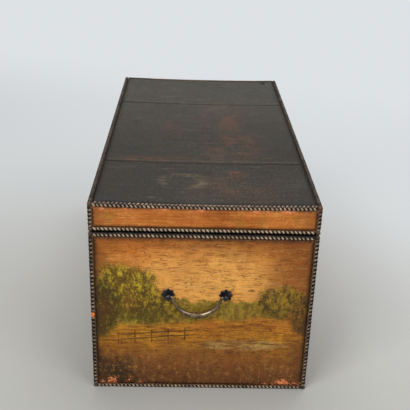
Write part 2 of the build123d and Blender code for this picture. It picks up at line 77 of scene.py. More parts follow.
# Materials
class Look:
    """A procedural material and short ways to add its nodes."""

    def __init__(self, name):
        self.material = bpy.data.materials.new(name)
        self.material.use_nodes = True
        self.tree = self.material.node_tree
        self.shader = self.tree.nodes["Principled BSDF"]
        self.place = self.tree.nodes.new("ShaderNodeTexCoord").outputs["Object"]
        split = self.tree.nodes.new("ShaderNodeSeparateXYZ")
        self.link(self.place, split.inputs[0])
        self.x, self.y, self.z = split.outputs

    def link(self, value, socket):
        if isinstance(value, bpy.types.NodeSocket):
            self.tree.links.new(value, socket)
        else:
            socket.default_value = value

    def math(self, operation, *values):
        node = self.tree.nodes.new("ShaderNodeMath")
        node.operation = operation
        for value, socket in zip(values, node.inputs):
            self.link(value, socket)
        return node.outputs[0]

    def chain(self, operation, values):
        total = values[0]
        for value in values[1:]:
            total = self.math(operation, total, value)
        return total

    def add(self, *values):
        return self.chain("ADD", values)

    def times(self, *values):
        return self.chain("MULTIPLY", values)

    def most(self, *values):
        return self.chain("MAXIMUM", values)

    def least(self, *values):
        return self.chain("MINIMUM", values)

    def absolute(self, value):
        return self.math("ABSOLUTE", value)

    def length(self, *values):
        """The root of the sum of squares."""
        return self.math("SQRT", self.add(*(self.times(value, value) for value in values)))

    def repeat(self, value):
        """How far a value is from the middle between two whole numbers: 0.5, down to 0 and up again."""
        return self.absolute(self.add(self.math("FRACT", value), -0.5))

    def inside(self, half, across):
        """How far in a point is from the edges that lie half a width to either side."""
        return self.add(half, self.times(self.absolute(across), -1.0))

    def step(self, value, low, high):
        """Turns smoothly from 0 at low to 1 at high; high may be the smaller."""
        node = self.tree.nodes.new("ShaderNodeMapRange")
        node.interpolation_type = "SMOOTHSTEP"
        self.link(value, node.inputs["Value"])
        first, last = (0.0, 1.0) if low < high else (1.0, 0.0)
        limits = {"From Min": min(low, high), "From Max": max(low, high), "To Min": first, "To Max": last}
        for name, number in limits.items():
            node.inputs[name].default_value = number
        return node.outputs["Result"]

    def stretch(self, scales, at=(0.0, 0.0, 0.0), turn=0.0):
        """The object's coordinates, scaled, moved and turned about X."""
        node = self.tree.nodes.new("ShaderNodeMapping")
        self.link(self.place, node.inputs["Vector"])
        node.inputs["Scale"].default_value = scales
        node.inputs["Location"].default_value = at
        node.inputs["Rotation"].default_value = (turn, 0, 0)
        return node.outputs[0]

    def noise(self, scale, detail, rough=0.55, vector=None, distort=0.0):
        """Noise from 0 to 1."""
        node = self.tree.nodes.new("ShaderNodeTexNoise")
        self.link(vector or self.place, node.inputs["Vector"])
        settings = {"Scale": scale, "Detail": detail, "Roughness": rough, "Distortion": distort}
        for name, number in settings.items():
            node.inputs[name].default_value = number
        return node.outputs["Fac"]

    def uneven(self, *settings):
        """Noise about 0."""
        return self.add(self.noise(*settings), -0.5)

    def cells(self, vector):
        """Distance to the nearest edge between cells."""
        node = self.tree.nodes.new("ShaderNodeTexVoronoi")
        node.feature = "DISTANCE_TO_EDGE"
        self.link(vector, node.inputs["Vector"])
        node.inputs["Scale"].default_value = 1.0
        return node.outputs["Distance"]

    def mix(self, share, a, b):
        """Colour a where share is 0 and b where it is 1."""
        node = self.tree.nodes.new("ShaderNodeMix")
        node.data_type = "RGBA"
        self.link(share, node.inputs[0])
        for value, socket in ((a, node.inputs[6]), (b, node.inputs[7])):
            self.link(value if isinstance(value, bpy.types.NodeSocket) else (*value[:3], 1.0), socket)
        return node.outputs[2]

    def tint(self, colour, tone, *shares):
        """The colour, moved to the tone by the product of the shares."""
        return self.mix(self.times(*shares), colour, tone)

    def ramp(self, value, *stops):
        node = self.tree.nodes.new("ShaderNodeValToRGB")
        self.link(value, node.inputs[0])
        elements = node.color_ramp.elements
        while len(elements) < len(stops):
            elements.new(0.5)
        for element, (place, colour) in zip(elements, stops):
            element.position = place
            element.color = (*colour, 1.0)
        return node.outputs[0]

    def bump(self, height, strength, distance):
        node = self.tree.nodes.new("ShaderNodeBump")
        self.link(height, node.inputs["Height"])
        node.inputs["Strength"].default_value = strength
        node.inputs["Distance"].default_value = distance
        return node.outputs[0]

    def finish(self, colour, rough, normal=None, metal=0.0, specular=0.5):
        self.link(colour, self.shader.inputs["Base Color"])
        self.link(rough, self.shader.inputs["Roughness"])
        self.shader.inputs["Metallic"].default_value = metal
        self.shader.inputs["Specular IOR Level"].default_value = specular
        if normal:
            self.link(normal, self.shader.inputs["Normal"])
        return self.material


def srgb(red, green, blue):
    """A colour given as it looks on screen, 0 to 255, in the linear values that nodes take."""
    values = [c / 255 for c in (red, green, blue)]
    return tuple(c / 12.92 if c < 0.04045 else ((c + 0.055) / 1.055) ** 2.4 for c in values)


def crackle(look, along, across):
    """Fine cracks of old varnish, mostly across the panel: 1 in a crack."""
    wander = look.step(look.noise(60, 3, 0.6), 0.35, 0.6)
    lines = look.step(look.cells(look.stretch(along)), 0.075, 0.0)
    crossed = look.step(look.cells(look.stretch(across)), 0.04, 0.0)
    return look.most(look.times(lines, wander), look.times(crossed, 0.45))


def painted(name, side_axis, mirror, seed):
    """Varnished leather painted with a plain landscape: sky, woods, a meadow, a pond and a fence.

    The landscape is as wide as an end. On a long side it stands in the middle, and its two halves
    carry on from there mirrored.
    """
    look = Look(name)
    scene_half = 0.2
    across = look.x if side_axis == "x" else look.y
    u = look.times(across, -1.0 if mirror else 1.0)
    if side_axis == "x":
        u = look.add(look.math("PINGPONG", look.add(u, scene_half), 2 * scene_half), -scene_half)
    v = look.z
    broad = look.uneven(14, 3, 0.5, look.stretch((1, 1, 1), (seed, seed, 0)))
    leafy = look.uneven(85, 5, 0.75)
    fine = look.uneven(300, 4, 0.75)
    strokes = look.uneven(1.0, 6, 0.7, look.stretch((26, 26, 230)))
    daubs = look.uneven(1.0, 4, 0.65, look.stretch((120, 120, 75), (1, 4, 2)))

    def below(line, soft, wobble=0.0):
        """1 under a wavy line at a height."""
        height = look.add(v, look.times(leafy, -wobble), look.times(line, -1.0))
        return look.step(height, soft, -soft)

    def blob(cu, cv, ru, rv, soft=0.35, wobble=0.75):
        """1 inside an oval clump with a leafy outline."""
        du = look.times(look.add(u, -cu), 1 / ru)
        dv = look.times(look.add(v, -cv), 1 / rv)
        leaf = look.add(look.times(leafy, -wobble), look.times(broad, 0.7), look.times(fine, 0.3))
        ragged = look.add(look.length(du, dv), leaf)
        return look.step(ragged, 1 + soft / 2, 1 - soft / 2)

    # Sky, brushed in level strokes, warmest towards one side
    high = look.step(look.add(v, look.times(broad, 0.2), look.times(strokes, 0.12)), 0.2, 0.32)
    sky = look.mix(high, srgb(244, 164, 74), srgb(210, 122, 44))
    sky = look.tint(sky, srgb(252, 186, 96), blob(0.01, 0.235, 0.12, 0.06, 1.4, 0.2), 0.7)
    amber = look.step(look.add(u, look.times(broad, 0.14)), 0.04, 0.19)
    sky = look.tint(sky, srgb(148, 86, 34), amber, 0.88)
    left = look.step(look.add(u, look.times(broad, 0.1)), -0.13, -0.19)
    sky = look.tint(sky, srgb(150, 88, 34), left, 0.6)
    colour = look.mix(look.times(look.step(strokes, 0.0, 0.15), 0.6), sky, srgb(150, 82, 28))
    colour = look.tint(colour, srgb(238, 184, 116), look.step(strokes, -0.04, -0.2), 0.4)

    # Far woods and the meadow
    far_wood = below(look.add(0.192, look.times(broad, 0.05)), 0.004, 0.045)
    wood_tone = look.mix(look.step(daubs, -0.1, 0.1), srgb(84, 84, 22), srgb(152, 136, 38))
    colour = look.tint(colour, wood_tone, far_wood, 0.85)
    slope = look.add(0.15, look.times(u, 0.06), look.times(broad, 0.03))
    meadow = below(slope, 0.006, 0.014)
    blades = look.step(look.add(strokes, look.times(leafy, 0.4)), -0.14, 0.16)
    grass = look.mix(blades, srgb(142, 84, 22), srgb(220, 152, 42))
    warmer = look.step(look.add(broad, look.times(strokes, 0.6)), 0.0, 0.16)
    grass = look.tint(grass, srgb(196, 110, 42), warmer, 0.6)
    grass = look.tint(grass, srgb(136, 84, 34), look.step(look.add(v, look.times(broad, 0.1)), 0.12, 0.05))
    colour = look.tint(colour, grass, meadow)

    # Clumps of trees, with lit leaves above and shade below
    light = look.add(daubs, look.times(leafy, 0.5), look.times(fine, 0.5), look.times(broad, 0.3))
    lit = look.step(light, -0.08, 0.16)
    for cu, cv, ru, rv, dark, pale in (
        (-0.138, 0.208, 0.060, 0.058, srgb(82, 76, 16), srgb(204, 176, 44)),
        (-0.088, 0.178, 0.044, 0.036, srgb(86, 70, 20), srgb(186, 152, 42)),
        (-0.185, 0.172, 0.034, 0.060, srgb(62, 58, 18), srgb(146, 130, 36)),
        (0.148, 0.190, 0.046, 0.038, srgb(72, 60, 20), srgb(166, 128, 40)),
        (0.184, 0.166, 0.030, 0.046, srgb(62, 46, 18), srgb(136, 98, 34)),
    ):
        clump = blob(cu, cv, ru, rv)
        leaves = look.mix(lit, dark, pale)
        shade = look.step(look.add(v, -cv, look.times(broad, 0.04)), 0.3 * rv, -0.8 * rv)
        leaves = look.tint(leaves, dark, shade, 0.6)
        colour = look.tint(colour, leaves, clump, 0.93)

    # Pond with reeds, and a rail fence
    pond = blob(0.075, 0.098, 0.075, 0.011, 0.5, 0.25)
    water = look.mix(look.step(strokes, -0.1, 0.12), srgb(124, 90, 40), srgb(214, 170, 100))
    colour = look.tint(colour, water, pond, 0.8)
    reeds = look.times(blob(0.075, 0.088, 0.085, 0.010, 0.6, 0.9), look.step(leafy, 0.0, 0.14))
    colour = look.tint(colour, srgb(64, 46, 14), reeds, 0.7)
    level = look.add(v, look.times(u, -0.1), look.times(broad, 0.006))
    rails = []
    for height in (0.121, 0.131):
        line = look.add(look.absolute(look.add(level, -height)), look.times(fine, 0.0015))
        rails.append(look.step(line, 0.0018, 0.0009))
    post = look.step(look.repeat(look.times(look.add(u, 0.5), 33.0)), 0.06, 0.03)
    post = look.times(post, look.step(level, 0.110, 0.113), look.step(level, 0.138, 0.135))
    fence = look.times(look.most(*rails, post), look.step(u, 0.01, -0.02), look.step(u, -0.2, -0.12))
    colour = look.tint(colour, srgb(58, 34, 14), fence, 0.75)

    # Brown foreground, dark in one corner
    front = below(look.add(0.056, look.times(u, -0.05), look.times(broad, 0.05)), 0.025, 0.03)
    colour = look.tint(colour, srgb(110, 66, 32), front, 0.7)
    ragged = look.add(look.times(broad, 0.12), look.times(leafy, 0.09), look.times(fine, 0.04))
    slant = look.add(u, look.times(v, 0.9), ragged)
    corner = look.step(slant, -0.070, -0.125)
    colour = look.tint(colour, srgb(34, 34, 20), corner, 0.92)
    tufts = look.step(look.add(daubs, look.times(strokes, 0.6)), 0.02, 0.16)
    tufts = look.times(tufts, look.step(v, 0.11, 0.03))
    colour = look.tint(colour, srgb(176, 124, 62), tufts, 0.75)
    hollows = look.step(look.add(daubs, look.times(leafy, 0.5)), -0.05, -0.2)
    hollows = look.times(hollows, look.step(v, 0.10, 0.02))
    colour = look.tint(colour, srgb(58, 38, 20), hollows, 0.7)
    smear = look.times(look.step(strokes, 0.03, 0.2), look.step(v, 0.17, 0.1))
    colour = look.tint(colour, srgb(74, 44, 18), smear, 0.5)

    # Age: mottled varnish, cracks, darkening towards the lacing, rubbed leather along the foot and pale
    # flecks
    colour = look.tint(colour, srgb(140, 70, 22), look.step(look.noise(9, 4, 0.6), 0.45, 0.72), 0.35)
    colour = look.tint(colour, srgb(214, 164, 92), look.step(fine, 0.04, 0.2), 0.28)
    colour = look.tint(colour, srgb(64, 36, 14), look.step(fine, -0.04, -0.2), 0.35)
    cracks = crackle(look, (40, 40, 430), (420, 420, 70))
    colour = look.tint(colour, srgb(62, 32, 10), cracks, 0.75)
    half = PANEL_HALF[side_axis]
    foot_line, rim_line = BASE_LOW + 0.0024, BASE_TOP - 0.004
    low_gap = look.add(v, -foot_line)
    high_gap = look.add(rim_line, look.times(v, -1.0))
    rim_gap = look.least(look.inside(half, across), low_gap, high_gap)
    # Darker towards the lacing on every side: slightly over a few centimetres, and strongly close to it.
    haze = look.step(look.add(rim_gap, look.times(broad, 0.05), look.times(leafy, 0.02)), 0.04, 0.0)
    colour = look.tint(colour, srgb(72, 40, 18), haze, 0.42)
    dirt = look.step(look.add(rim_gap, look.times(leafy, 0.008)), 0.010, 0.001)
    colour = look.tint(colour, srgb(40, 24, 14), dirt, 0.75)
    outward = look.add(look.absolute(across), look.times(broad, 0.09))
    near_corner = look.step(outward, half - 0.102, half - 0.052)
    torn = look.uneven(55, 5, 0.8, look.stretch((1, 1, 1), (seed + 2, 7, 0)))
    bare = look.add(low_gap, look.times(torn, -0.13), look.times(fine, -0.04), 0.004)
    raw = look.times(look.step(bare, 0.0080, 0.0055), near_corner)
    specks = look.step(look.noise(95, 2, 0.5, look.stretch((1, 1, 1), (3, 5, 7))), 0.745, 0.77)
    raw_tone = look.mix(look.step(fine, -0.1, 0.15), srgb(206, 98, 44), srgb(244, 160, 108))
    colour = look.tint(colour, raw_tone, look.most(raw, look.times(specks, 0.5)))
    flecks = look.step(look.noise(330, 1, 0.5), 0.80, 0.83)
    colour = look.tint(colour, srgb(236, 222, 186), flecks, 0.75)

    rough = look.add(0.5, look.times(cracks, 0.3), look.times(broad, 0.25), look.times(raw, 0.25))
    dips = look.add(look.times(cracks, -1.0), look.times(raw, -1.2))
    relief = look.add(dips, look.times(fine, 0.7), look.times(leafy, 0.5), look.times(strokes, 0.5))
    return look.finish(colour, rough, look.bump(relief, 0.6, 0.0008), specular=0.22)


def lid_side(name, side_axis):
    """Streaked tan leather of the lid's sides, grained along its length and scuffed along its top."""
    look = Look(name)
    across = look.x if side_axis == "x" else look.y
    height = look.z
    along = look.stretch((14, 14, 330))
    grain = look.uneven(1.0, 5, 0.7, along)
    broad = look.uneven(11, 4, 0.6, look.stretch((1, 1, 2), (1, 3, 0)))
    mottle = look.uneven(60, 5, 0.7)
    fine = look.uneven(320, 4, 0.75)
    spread = look.add(look.times(broad, 0.7), look.times(mottle, 0.5), look.times(fine, 0.3))
    tone = look.add(0.5, look.times(grain, 0.75), spread)
    colour = look.ramp(tone, (0.2, srgb(122, 60, 18)), (0.5, srgb(194, 110, 42)), (0.8, srgb(234, 160, 76)))
    olive = look.step(look.noise(22, 3, 0.6, look.stretch((1, 1, 1), (6, 2, 0))), 0.56, 0.68)
    colour = look.tint(colour, srgb(150, 112, 38), olive, 0.4)
    end_gap = look.inside(PANEL_HALF[side_axis], across)
    ends = look.step(look.add(end_gap, look.times(broad, 0.04)), 0.05, 0.0)
    colour = look.tint(colour, srgb(116, 62, 30), ends, 0.55)
    low_gap = look.add(height, -LID_LOW - EDGE)
    high_gap = look.add(LID_TOP - EDGE, look.times(height, -1.0))
    rim_gap = look.least(end_gap, low_gap, high_gap)
    # Darker along the lacing on every side.
    dirt = look.step(look.add(rim_gap, look.times(mottle, 0.006)), 0.007, 0.0)
    colour = look.tint(colour, srgb(70, 38, 20), dirt, 0.7)
    cracks = crackle(look, (45, 45, 400), (380, 380, 80))
    colour = look.tint(colour, srgb(84, 44, 16), cracks, 0.5)
    edge_place = look.add(high_gap, look.times(mottle, 0.02), look.times(fine, 0.012))
    scuffed = look.step(look.noise(17, 3, 0.6, look.stretch((1, 1, 0), (2, 9, 0))), 0.50, 0.58)
    raw = look.times(look.step(edge_place, 0.0060, 0.0035), scuffed)
    raw_tone = look.mix(look.step(fine, -0.1, 0.1), srgb(206, 96, 46), srgb(246, 168, 124))
    colour = look.tint(colour, raw_tone, raw, 0.9)
    slashes = look.noise(1.0, 3, 0.6, look.stretch((900, 900, 60), (0, 0, 0), 0.6))
    scratch_place = look.step(look.noise(12, 2, 0.5), 0.48, 0.56)
    scratch_place = look.times(look.step(high_gap, 0.014, 0.004), scratch_place)
    scratches = look.times(look.step(slashes, 0.62, 0.70), scratch_place)
    colour = look.tint(colour, srgb(232, 196, 140), scratches, 0.6)
    flecks = look.step(look.noise(300, 1, 0.5), 0.80, 0.83)
    colour = look.tint(colour, srgb(238, 214, 166), flecks, 0.6)
    rough = look.add(0.48, look.times(mottle, 0.3), look.times(raw, 0.25))
    dips = look.add(look.times(cracks, -0.9), look.times(raw, -0.8))
    relief = look.add(dips, look.times(fine, 0.6), look.times(mottle, 0.5))
    return look.finish(colour, rough, look.bump(relief, 0.55, 0.0007), specular=0.25)


def dark_leather(name):
    """The lid's near black leather, cross-hatched with cracks and worn to red in patches."""
    look = Look(name)
    broad = look.uneven(7, 4, 0.55)
    patch = look.uneven(24, 5, 0.7, look.stretch((0.6, 1, 1), (4, 2, 0)))
    fine = look.uneven(240, 4, 0.75)
    streaks = look.uneven(1.0, 5, 0.65, look.stretch((200, 16, 1)))

    def oval(cx, cy, rx, ry):
        """Distance from a place, 1 on an oval round it, made ragged."""
        dx = look.times(look.add(look.x, -cx), 1 / rx)
        dy = look.times(look.add(look.y, -cy), 1 / ry)
        return look.add(look.length(dx, dy), look.times(patch, 1.3), look.times(fine, 0.6))

    tone = look.add(0.5, look.times(broad, 0.9), look.times(fine, 0.8), look.times(streaks, 0.7))
    colour = look.ramp(tone, (0.2, srgb(12, 13, 11)), (0.52, srgb(33, 34, 31)), (0.85, srgb(68, 65, 57)))
    # Painted sheen: the leather turns lighter grey towards the far end of the lid.
    back = look.step(look.add(look.x, look.times(broad, 0.3)), 0.15, -0.3)
    colour = look.tint(colour, srgb(88, 87, 80), back, 0.42)
    spots = []
    for cx, cy, rx, ry, share in (
        (-0.075, 0.045, 0.14, 0.07, 0.7),
        (0.090, 0.065, 0.11, 0.065, 0.9),
        (0.175, 0.03, 0.025, 0.12, 0.6),
        (0.190, -0.115, 0.020, 0.050, 1.0),
        (0.263, 0.055, 0.022, 0.035, 1.0),
        (0.001, -0.072, 0.07, 0.06, 0.35),
        (0.335, 0.07, 0.07, 0.09, 0.55),
    ):
        spots.append(look.times(look.step(oval(cx, cy, rx, ry), 1.4, 0.2), share))
    rubbed = look.add(fine, look.times(patch, 1.1), look.times(streaks, 0.8))
    worn = look.times(look.most(*spots), look.step(rubbed, -0.16, 0.22))
    red_tone = look.mix(look.step(patch, -0.1, 0.12), srgb(96, 70, 52), srgb(136, 82, 50))
    colour = look.tint(colour, red_tone, worn, 0.62)
    hatch = look.step(look.cells(look.stretch((150, 420, 1))), 0.14, 0.0)
    finer = look.times(look.step(look.cells(look.stretch((520, 170, 1), (3, 1, 0))), 0.12, 0.0), 0.8)
    cracks = look.times(look.most(hatch, finer), look.step(look.noise(30, 3, 0.6), 0.25, 0.55))
    colour = look.tint(colour, srgb(112, 98, 80), cracks, 0.4)
    long_cracks = look.step(look.cells(look.stretch((480, 90, 1), (8, 1, 0))), 0.13, 0.0)
    colour = look.tint(colour, srgb(12, 12, 11), long_cracks, 0.6)
    combed = look.add(look.times(look.x, 70.0), look.times(look.y, 190.0), look.times(patch, 1.5))
    combed = look.step(look.repeat(combed), 0.16, 0.04)
    combed_place = look.step(oval(0.335, 0.06, 0.07, 0.10), 1.2, 0.3)
    combed = look.times(combed, combed_place, look.step(fine, -0.1, 0.1))
    colour = look.tint(colour, srgb(112, 84, 64), combed, 0.5)
    scratch_place = look.noise(50, 3, 0.6, look.stretch((1, 1, 1), (5, 0, 0)))
    scratches = look.times(look.step(streaks, 0.1, 0.2), look.step(scratch_place, 0.5, 0.65))
    colour = look.tint(colour, srgb(128, 98, 78), scratches, 0.5)
    rim = look.absolute(look.add(oval(0.300, -0.039, 0.034, 0.040), -1.0))
    stain = look.times(look.step(rim, 0.42, 0.0), look.step(look.add(patch, fine, streaks), -0.12, 0.22))
    colour = look.tint(colour, srgb(122, 106, 78), stain, 0.42)
    # Each seam is a dark line with a lighter band along one side of it: painted highlight on the raised seam.
    lines, edges = [], []
    for place in SEAMS:
        away = look.add(look.x, -place, look.times(broad, 0.006), look.times(patch, 0.003))
        lines.append(look.step(look.absolute(away), 0.0052, 0.0006))
        edges.append(look.step(look.absolute(look.add(away, 0.0085)), 0.008, 0.001))
    colour = look.tint(colour, srgb(104, 96, 84), look.most(*edges), 0.175)
    colour = look.tint(colour, srgb(20, 18, 15), look.most(*lines), 0.75)
    tear = look.step(oval(-0.380, 0.1635, 0.012, 0.006), 1.1, 0.7)
    colour = look.tint(colour, srgb(12, 10, 9), tear, 0.85)
    border = look.least(look.inside(PANEL_HALF["x"], look.x), look.inside(PANEL_HALF["y"], look.y))
    border = look.add(border, look.times(fine, 0.006))
    colour = look.tint(colour, srgb(22, 19, 16), look.step(border, 0.012, 0.002), 0.7)
    flecks = look.step(look.noise(260, 1, 0.5), 0.81, 0.84)
    colour = look.tint(colour, srgb(196, 178, 150), flecks, 0.6)
    rough = look.add(0.55, look.times(cracks, 0.2), look.times(broad, 0.3), look.times(worn, 0.1))
    dips = look.add(look.times(cracks, -0.8), look.times(tear, -3.0))
    relief = look.add(dips, look.times(fine, 1.1), look.times(streaks, 0.9))
    return look.finish(colour, rough, look.bump(relief, 0.8, 0.0012), specular=0.15)


def lacing_leather(name):
    """Lacing: near black where it dips under, as painted shade, and beige on its crowns, as rubbed wear and
    painted highlight.
    """
    look = Look(name)
    # The attribute read here holds wear and painted light: painted highlight on the crowns, painted shade in
    # the dips and on the core.
    node = look.tree.nodes.new("ShaderNodeAttribute")
    node.attribute_name = "wear"
    wear = node.outputs["Fac"]
    each = look.uneven(95, 2, 0.5)
    grain = look.uneven(700, 3, 0.6)
    dirt = look.uneven(30, 3, 0.6)
    tone = look.add(wear, look.times(grain, 0.25), look.times(dirt, 0.4), look.times(each, 0.3))
    dark = (0.2, srgb(14, 11, 9)), (0.42, srgb(48, 38, 31))
    colour = look.ramp(tone, *dark, (0.66, srgb(110, 92, 75)), (0.92, srgb(188, 164, 136)))
    amber = look.step(look.noise(60, 2, 0.5, look.stretch((1, 1, 1), (2, 8, 1))), 0.66, 0.72)
    colour = look.tint(colour, srgb(168, 110, 62), amber, wear, 0.6)
    offsets = [look.add(axis, -place) for axis, place in zip((look.x, look.y, look.z), CHIP)]
    chip = look.step(look.length(*offsets), 0.0055, 0.0042)
    colour = look.tint(colour, srgb(226, 128, 66), chip)
    rough = look.add(0.55, look.times(grain, 0.3))
    return look.finish(colour, rough, look.bump(grain, 0.4, 0.0003), specular=0.18)


def boards(name, along):
    """Old poplar, with its grain along X or Y."""
    look = Look(name)
    scales = (9, 160, 160) if along == "x" else (160, 9, 160)
    grain = look.noise(1.0, 5, 0.6, look.stretch(scales), 0.4)
    broad = look.noise(6, 3, 0.5)
    tone = look.add(look.times(grain, 0.75), look.times(broad, 0.35))
    colour = look.ramp(tone, (0.35, srgb(96, 66, 40)), (0.6, srgb(146, 108, 70)), (0.8, srgb(176, 138, 96)))
    return look.finish(colour, 0.7, look.bump(grain, 0.4, 0.0005))


def paper(name):
    """Aged lining paper with fine stripes, foxed and stained."""
    look = Look(name)
    across = look.add(look.x, look.y)
    stripe = look.repeat(look.times(across, 62.0))
    beside = look.step(look.absolute(look.add(stripe, -0.2)), 0.03, 0.015)
    lines = look.most(look.step(stripe, 0.06, 0.035), look.times(beside, 0.6))
    broad = look.noise(8, 5, 0.6)
    fine = look.noise(260, 3, 0.6)
    colour = look.ramp(broad, (0.3, srgb(168, 142, 100)), (0.6, srgb(200, 178, 136)))
    colour = look.tint(colour, srgb(122, 74, 58), lines, 0.45)
    foxing = look.step(look.noise(70, 3, 0.5), 0.66, 0.76)
    colour = look.tint(colour, srgb(128, 88, 46), foxing, 0.5)
    return look.finish(colour, 0.85, look.bump(look.add(look.times(fine, 0.3), broad), 0.3, 0.0008))


def metal(name, dark, mid, bright, rough, shine, pits=0.35):
    """Old metal, mottled at random from dark to bright."""
    look = Look(name)
    broad = look.noise(90, 4, 0.6)
    fine = look.noise(520, 4, 0.7)
    tone = look.add(look.times(broad, 0.7), look.times(fine, 0.4))
    colour = look.ramp(tone, (0.4, dark), (0.56, mid), (0.7, bright))
    value = look.add(rough, look.times(look.add(fine, -0.5), 0.4))
    return look.finish(colour, value, look.bump(fine, pits, 0.0003), metal=shine)


def sole(name):
    """Rough dark leather of the underside."""
    look = Look(name)
    grain = look.noise(160, 5, 0.7)
    tone = look.add(look.times(grain, 0.6), look.times(look.noise(12, 3), 0.5))
    colour = look.ramp(tone, (0.4, srgb(44, 30, 20)), (0.75, srgb(92, 64, 42)))
    return look.finish(colour, 0.8, look.bump(grain, 0.5, 0.0008))


end_paint = painted("painted_end", "y", False, 0.0)
far_paint = painted("painted_far_end", "y", True, 3.0)
front_paint = painted("painted_front", "x", False, 6.0)
back_paint = painted("painted_back", "x", True, 9.0)
rim_end, rim_long = lid_side("lid_side_end", "y"), lid_side("lid_side_long", "x")
top_leather = dark_leather("dark_leather")
laces = lacing_leather("lacing")
wood_x, wood_y = boards("boards_along", "x"), boards("boards_across", "y")
lining = paper("lining_paper")
bronze = metal("bronze", srgb(70, 58, 47), srgb(116, 100, 81), srgb(158, 138, 110), 0.26, 0.88, 0.08)
blackened = metal("blackened_bronze", srgb(26, 26, 31), srgb(50, 49, 54), srgb(106, 98, 96), 0.36, 0.8)
iron = metal("iron", srgb(30, 27, 25), srgb(56, 50, 45), srgb(92, 80, 70), 0.5, 0.75)
brass = metal("brass", srgb(84, 62, 30), srgb(140, 106, 52), srgb(190, 154, 86), 0.38, 0.9)
under = sole("sole_leather")


# Pieces
def piece(name, vertices, faces, material, body, wear):
    """Makes one mesh piece, shades it smooth, and lets it stand for the CAD node of its name."""
    mesh = bpy.data.meshes.new(name)
    mesh.from_pydata([tuple(v) for v in vertices], [], [tuple(f) for f in faces])
    mesh.polygons.foreach_set("use_smooth", [True] * len(mesh.polygons))
    mesh.materials.append(material)
    mesh.attributes.new("wear", "FLOAT", "POINT").data.foreach_set("value", np.asarray(wear, np.float32))
    mesh.update()
    obj = bpy.data.objects.new(name, mesh)
    bpy.context.collection.objects.link(obj)
    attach(obj, body)
    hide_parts(name)


class Mesh:
    """Vertices and faces gathered from several blocks into one piece."""

    def __init__(self):
        self.vertices, self.faces, self.wear, self.count = [], [], [], 0

    def put(self, vertices, faces, wear=None):
        self.vertices.append(np.asarray(vertices, float))
        self.faces.extend([tuple(i + self.count for i in face) for face in faces])
        self.wear.append(np.zeros(len(vertices)) if wear is None else np.asarray(wear, float))
        self.count += len(vertices)

    def piece(self, name, material, body, slot):
        vertices, wear = np.concatenate(self.vertices), np.concatenate(self.wear)
        piece(name, vertices, self.faces, material, body, wear)


def grid_faces(rows, columns, wrap=False):
    """Quads between points numbered row by row; wrap joins the two ends of each row."""
    faces = []
    for i in range(rows - 1):
        for k in range(columns if wrap else columns - 1):
            near, far = i * columns, (i + 1) * columns
            m = (k + 1) % columns
            faces.append((near + k, far + k, far + m, near + m))
    return faces


def turned(faces):
    """The same quads seen from their other side, each from its own first corner."""
    return [(a, d, c, b) for a, b, c, d in faces]


# Thickness of each leather and of the lining paper, and the spacing of the points on them
SIDE_LEATHER, TOP_LEATHER, SOLE_LEATHER, RIM_LEATHER, PAPER = 0.0024, 0.0030, 0.0036, 0.0016, 0.0008
FINE_CELL, RIM_CELL, COARSE_CELL = 0.004, 0.0025, 0.012
GLUE = 0.00005
SEAM_GAP = 0.0002


def sheet_block(
    store, origin, u, v, n, size, cell, thick, relief, seed, soft_edge=0.004, hole=None, shape=None
):
    """A thin leather or paper slab with an uneven outer face and edges that round down."""
    nu, nv = (max(2, round(s / cell)) + 1 for s in size)
    across, along = np.meshgrid(np.linspace(0, size[0], nu), np.linspace(0, size[1], nv), indexing="ij")
    across, along = across.ravel(), along.ravel()
    flat = np.array(origin, float) + across[:, None] * u + along[:, None] * v
    edge = np.minimum(np.minimum(across, size[0] - across), np.minimum(along, size[1] - along))
    waves = 0.7 * ripple(flat, 14, seed) + 0.3 * ripple(flat, 60, seed + 5)
    lift = thick * (0.35 + 0.65 * smooth(edge, 0, soft_edge))
    lift = lift + relief * waves * smooth(edge, 0, 3 * soft_edge)
    top = flat + np.maximum(lift, thick * 0.3)[:, None] * n
    if shape:
        top = shape(top)
    bottom = flat + GLUE * n
    faces = [face for face in grid_faces(nu, nv) if not (hole and hole(top[list(face)].mean(0)))]
    rim = [i * nv for i in range(nu)] + [(nu - 1) * nv + j for j in range(1, nv)]
    rim += [i * nv + nv - 1 for i in range(nu - 2, -1, -1)] + list(range(nv - 2, 0, -1))
    count = nu * nv
    for a, b in zip(rim, rim[1:] + rim[:1]):
        faces.append((b, a, a + count, b + count))
    faces.append((count + nv - 1, count + nu * nv - 1, count + (nu - 1) * nv, count))
    if np.dot(np.cross(u, v), n) < 0:
        faces = [face[::-1] for face in faces]
    store.put(np.concatenate([top, bottom]), faces)


# Leather on the sides. The front leaves the keyhole open.
KEYHOLE_HALF, KEYHOLE_LOW, KEYHOLE_TOP = 0.005, 0.280, 0.296


def keyhole(point):
    return abs(point[0]) < KEYHOLE_HALF and KEYHOLE_LOW < point[2] < KEYHOLE_TOP


side_panels = (
    ("end_leather_right", HALF_X * X, Y, X, HALF_Y, end_paint, rim_end),
    ("end_leather_left", -HALF_X * X, -Y, -X, HALF_Y, far_paint, rim_end),
    ("front_leather", -HALF_Y * Y, X, -Y, HALF_X, front_paint, rim_long),
    ("back_leather", HALF_Y * Y, -X, Y, HALF_X, back_paint, rim_long),
)
for part, origin, u, n, half, base_look, lid_look in side_panels:
    width = 2 * (half - EDGE - SEAM_GAP)
    for group, low, high in SHELLS:
        name = f"{group}_{part}"
        store = Mesh()
        start = origin - u * width / 2 + (low + EDGE) * Z
        size = (width, high - low - 2 * EDGE)
        hole = keyhole if name == "base_front_leather" else None
        sheet_block(store, start, u, Z, n, size, FINE_CELL, SIDE_LEATHER, 0.0004, 3, 0.003, hole)
        if group == "base":
            store.piece(name, base_look, group, "painted_leather")
        else:
            store.piece(name, lid_look, group, "lid_leather")


# Leather on the lid, which has sunk a little along its middle
def sunk(points):
    points = points.copy()
    points[:, 2] -= sag(points[:, 1])
    return points


